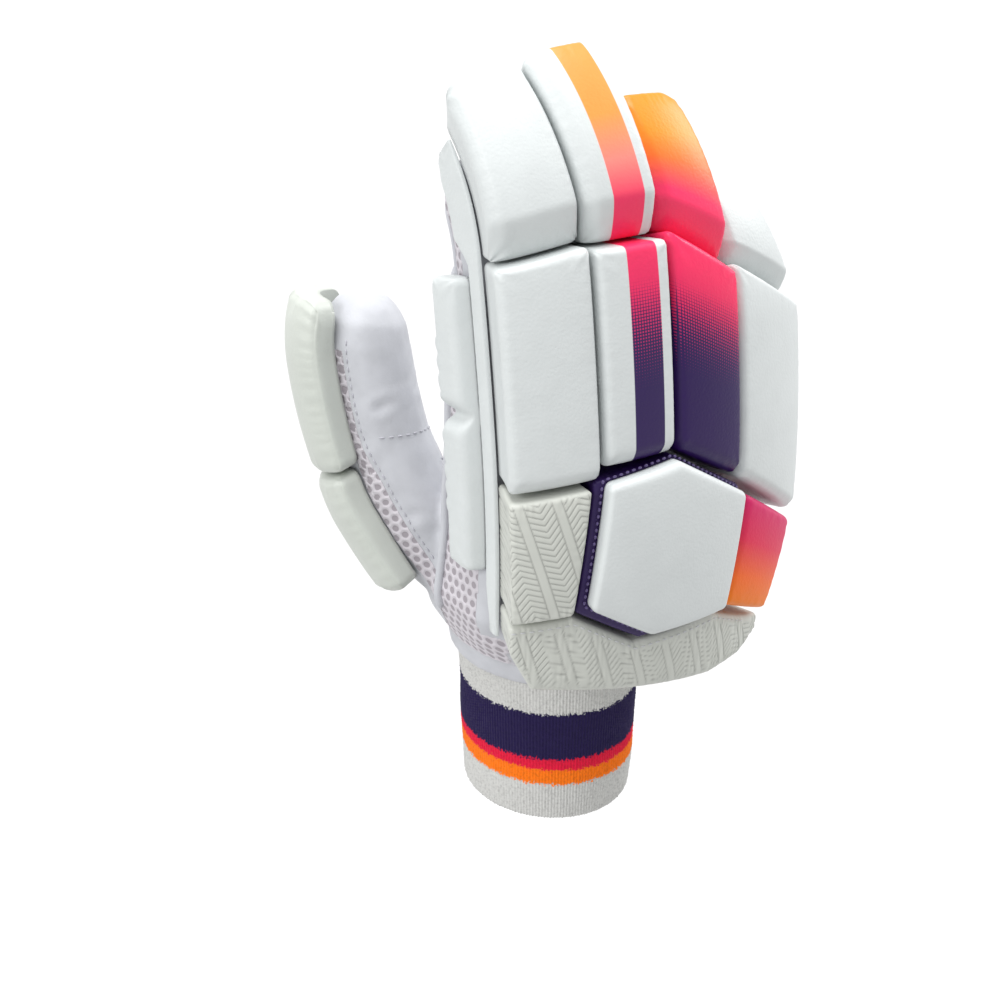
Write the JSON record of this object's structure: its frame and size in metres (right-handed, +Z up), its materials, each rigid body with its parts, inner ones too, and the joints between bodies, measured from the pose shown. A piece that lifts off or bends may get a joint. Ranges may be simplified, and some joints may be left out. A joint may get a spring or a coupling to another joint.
{
  "type": "cricket batting glove",
  "caption": "Right-hand cricket batting glove, worn upright: padded finger rolls, knuckle plate, thumb guard, hollow leather palm and knitted wrist cuff with strap.",
  "frame": {"origin": "middle of the cuff's bottom rim, where the wrist goes in", "axes": "+Z up towards the fingertips, the back of the hand faces -Y, the thumb is towards -X"},
  "size_m": [0.1444, 0.1272, 0.2603],
  "materials": {
    "cuff_knit": "knitted towelling in white with a purple band and red and orange stripes",
    "strap_web": "woven elastic, purple with red and orange stripes",
    "white_leather": "smooth white coated leather with a fine grain and a soft sheen",
    "palm_leather": "matte off-white palm leather with mesh gussets",
    "striped_leather": "white leather with a printed stripe fading from orange through pink to purple",
    "faded_leather": "leather with a printed fade from orange through pink to purple",
    "embossed_leather": "off-white leather embossed with a herringbone relief",
    "magenta_leather": "leather with a printed fade from magenta to orange",
    "purple_leather": "dark purple leather with a stitched edge",
    "cream_leather": "smooth cream-white leather, gathered at the thumb's tip"
  },
  "bodies": {
    "root": {"cuff": "cuff_knit", "strap": "strap_web", "strap_tab": "white_leather", "hand_shell": "palm_leather", "index_stall": "palm_leather", "middle_stall": "palm_leather", "ring_stall": "palm_leather", "little_stall": "palm_leather", "index_middle_roll": "white_leather", "index_tip_roll": "white_leather", "middle_middle_roll": "striped_leather", "middle_tip_roll": "striped_leather", "ring_middle_roll": "faded_leather", "ring_tip_roll": "faded_leather", "little_middle_roll": "white_leather", "little_tip_roll": "white_leather", "index_knuckle_pad": "embossed_leather", "little_knuckle_pad": "magenta_leather", "plate_backing": "purple_leather", "hexagon_plate": "white_leather", "cuff_guard": "embossed_leather", "side_welt": "white_leather", "side_bar": "white_leather", "thumb_stall": "palm_leather", "thumb_base_pad": "cream_leather", "thumb_tip_pad": "cream_leather"}
  },
  "joints": []
}
